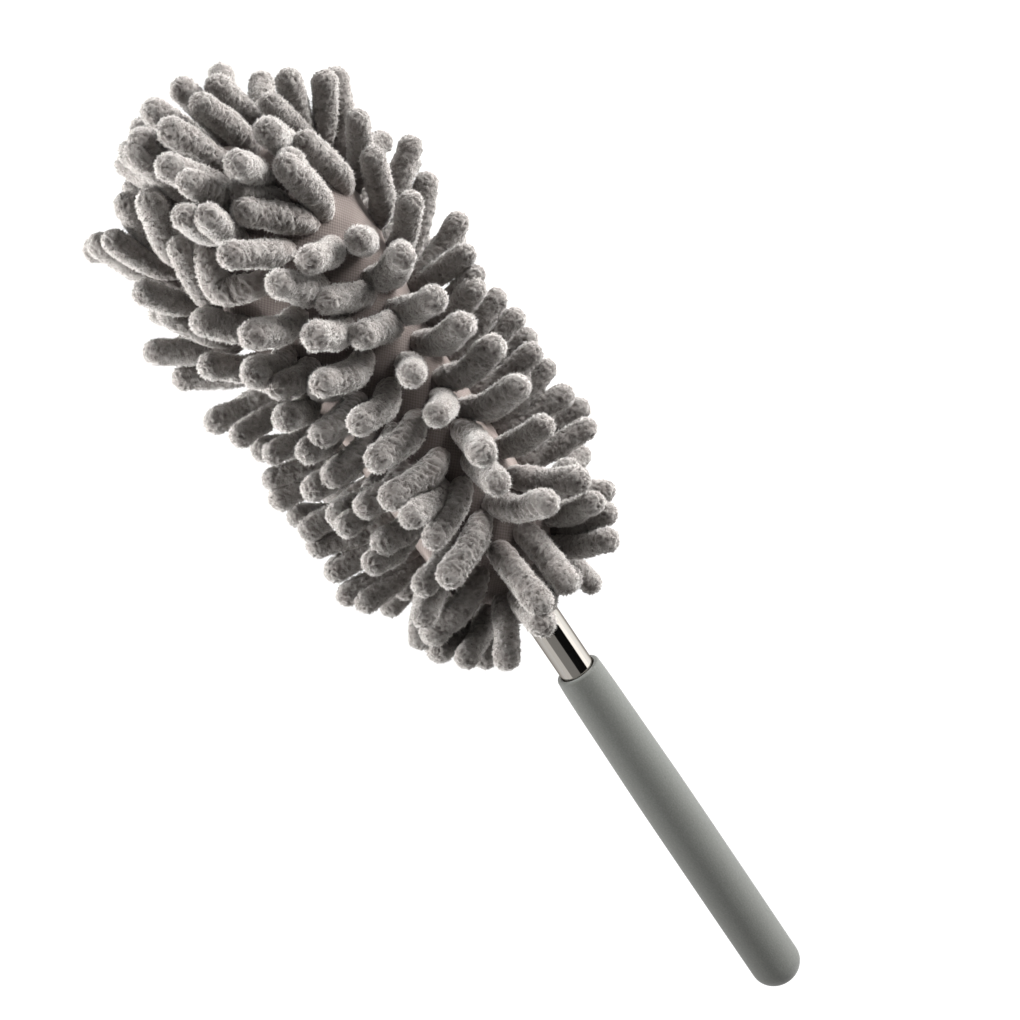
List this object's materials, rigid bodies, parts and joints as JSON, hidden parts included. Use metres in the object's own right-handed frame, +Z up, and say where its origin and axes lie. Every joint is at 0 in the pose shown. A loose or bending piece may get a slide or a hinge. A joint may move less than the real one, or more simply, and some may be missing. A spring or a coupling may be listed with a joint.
{
  "type": "extendable duster",
  "caption": "Hand duster: slim soft grip, telescopic polished steel rod and a bendable foam core in a knitted sleeve of thick grey chenille fingers.",
  "frame": {"origin": "centre of the bounding box's base, on the table that the closed duster lies on", "axes": "+X runs level from the grip towards the head, +Z is up, +Y completes it; the rod rises 8 degrees from the table towards the head, and lies in the XZ plane"},
  "size_m": [0.2896, 0.0766, 0.0799],
  "materials": {
    "chenille": "thick grey chenille pile",
    "knit_cloth": "fine knitted mesh, warm grey",
    "grip_rubber": "soft matte grey with a fine grain",
    "chromed_steel": "polished stainless tube",
    "nylon": "natural nylon",
    "black_plastic": "moulded",
    "steel_wire": "soft bendable wire",
    "core_foam": null,
    "elastic": "flat elastic"
  },
  "bodies": {
    "grip": {"grip_sleeve": "grip_rubber", "rod_tube_1": "chromed_steel", "tube_end_plug": "black_plastic"},
    "stage_2_sleeve": {"friction_sleeve_2": "nylon"},
    "stage_2": {"rod_tube_2": "chromed_steel"},
    "stage_3": {"friction_sleeve_3": "nylon", "rod_tube_3": "chromed_steel"},
    "stage_4": {"friction_sleeve_4": "nylon", "rod_tube_4": "chromed_steel"},
    "stage_5": {"friction_sleeve_5": "nylon", "rod_tube_5": "chromed_steel", "head_socket": "black_plastic", "core_wire": "steel_wire", "core_foam": "core_foam", "sleeve_cloth": "knit_cloth", "sleeve_cuff": "knit_cloth", "cuff_elastic": "elastic", "finger_row_01": "chenille", "finger_row_02": "chenille"},
    "head_link_1": {"finger_row_03": "chenille", "finger_row_04": "chenille"},
    "head_link_2": {"finger_row_05": "chenille", "finger_row_06": "chenille"},
    "head_link_3": {"finger_row_07": "chenille", "finger_row_08": "chenille"},
    "head_link_4": {"finger_row_09": "chenille", "finger_row_10": "chenille"},
    "head_link_5": {"finger_row_11": "chenille", "finger_row_12": "chenille", "finger_row_13": "chenille", "finger_row_14": "chenille", "finger_tip": "chenille", "wire_tip_cap": "black_plastic"}
  },
  "joints": [
    {"name": "rod_extend_1", "type": "slide", "parent": "grip", "child": "stage_2_sleeve", "axis": [0.9903, 0, 0.1392], "range_m": [0, 0.105]},
    {"name": "rod_turn", "type": "hinge", "parent": "stage_2_sleeve", "child": "stage_2", "pos_m": [-0.12992, 0, 0.00816], "axis": [0.9903, 0, 0.1392], "continuous": true},
    {"name": "rod_extend_2", "type": "slide", "parent": "stage_2", "child": "stage_3", "axis": [0.9903, 0, 0.1392], "range_m": [0, 0.105]},
    {"name": "rod_extend_3", "type": "slide", "parent": "stage_3", "child": "stage_4", "axis": [0.9903, 0, 0.1392], "range_m": [0, 0.105]},
    {"name": "rod_extend_4", "type": "slide", "parent": "stage_4", "child": "stage_5", "axis": [0.9903, 0, 0.1392], "range_m": [0, 0.105]},
    {"name": "head_bend_1", "type": "hinge", "parent": "stage_5", "child": "head_link_1", "pos_m": [0.01526, 0, 0.02856], "axis": [-0.1392, 0, 0.9903], "range_deg": [-12, 12], "deforming": ["core_wire", "core_foam", "sleeve_cloth"]},
    {"name": "head_bend_2", "type": "hinge", "parent": "head_link_1", "child": "head_link_2", "pos_m": [0.03585, 0, 0.03145], "axis": [-0.1392, 0, 0.9903], "range_deg": [-12, 12]},
    {"name": "head_bend_3", "type": "hinge", "parent": "head_link_2", "child": "head_link_3", "pos_m": [0.05645, 0, 0.03435], "axis": [-0.1392, 0, 0.9903], "range_deg": [-12, 12]},
    {"name": "head_bend_4", "type": "hinge", "parent": "head_link_3", "child": "head_link_4", "pos_m": [0.07705, 0, 0.03724], "axis": [-0.1392, 0, 0.9903], "range_deg": [-12, 12]},
    {"name": "head_bend_5", "type": "hinge", "parent": "head_link_4", "child": "head_link_5", "pos_m": [0.09765, 0, 0.04014], "axis": [-0.1392, 0, 0.9903], "range_deg": [-12, 12]}
  ],
  "couplings": [
    {"joint": "head_bend_2", "follows": "head_bend_1", "ratio": 1},
    {"joint": "head_bend_3", "follows": "head_bend_1", "ratio": 1},
    {"joint": "head_bend_4", "follows": "head_bend_1", "ratio": 1},
    {"joint": "head_bend_5", "follows": "head_bend_1", "ratio": 1}
  ]
}
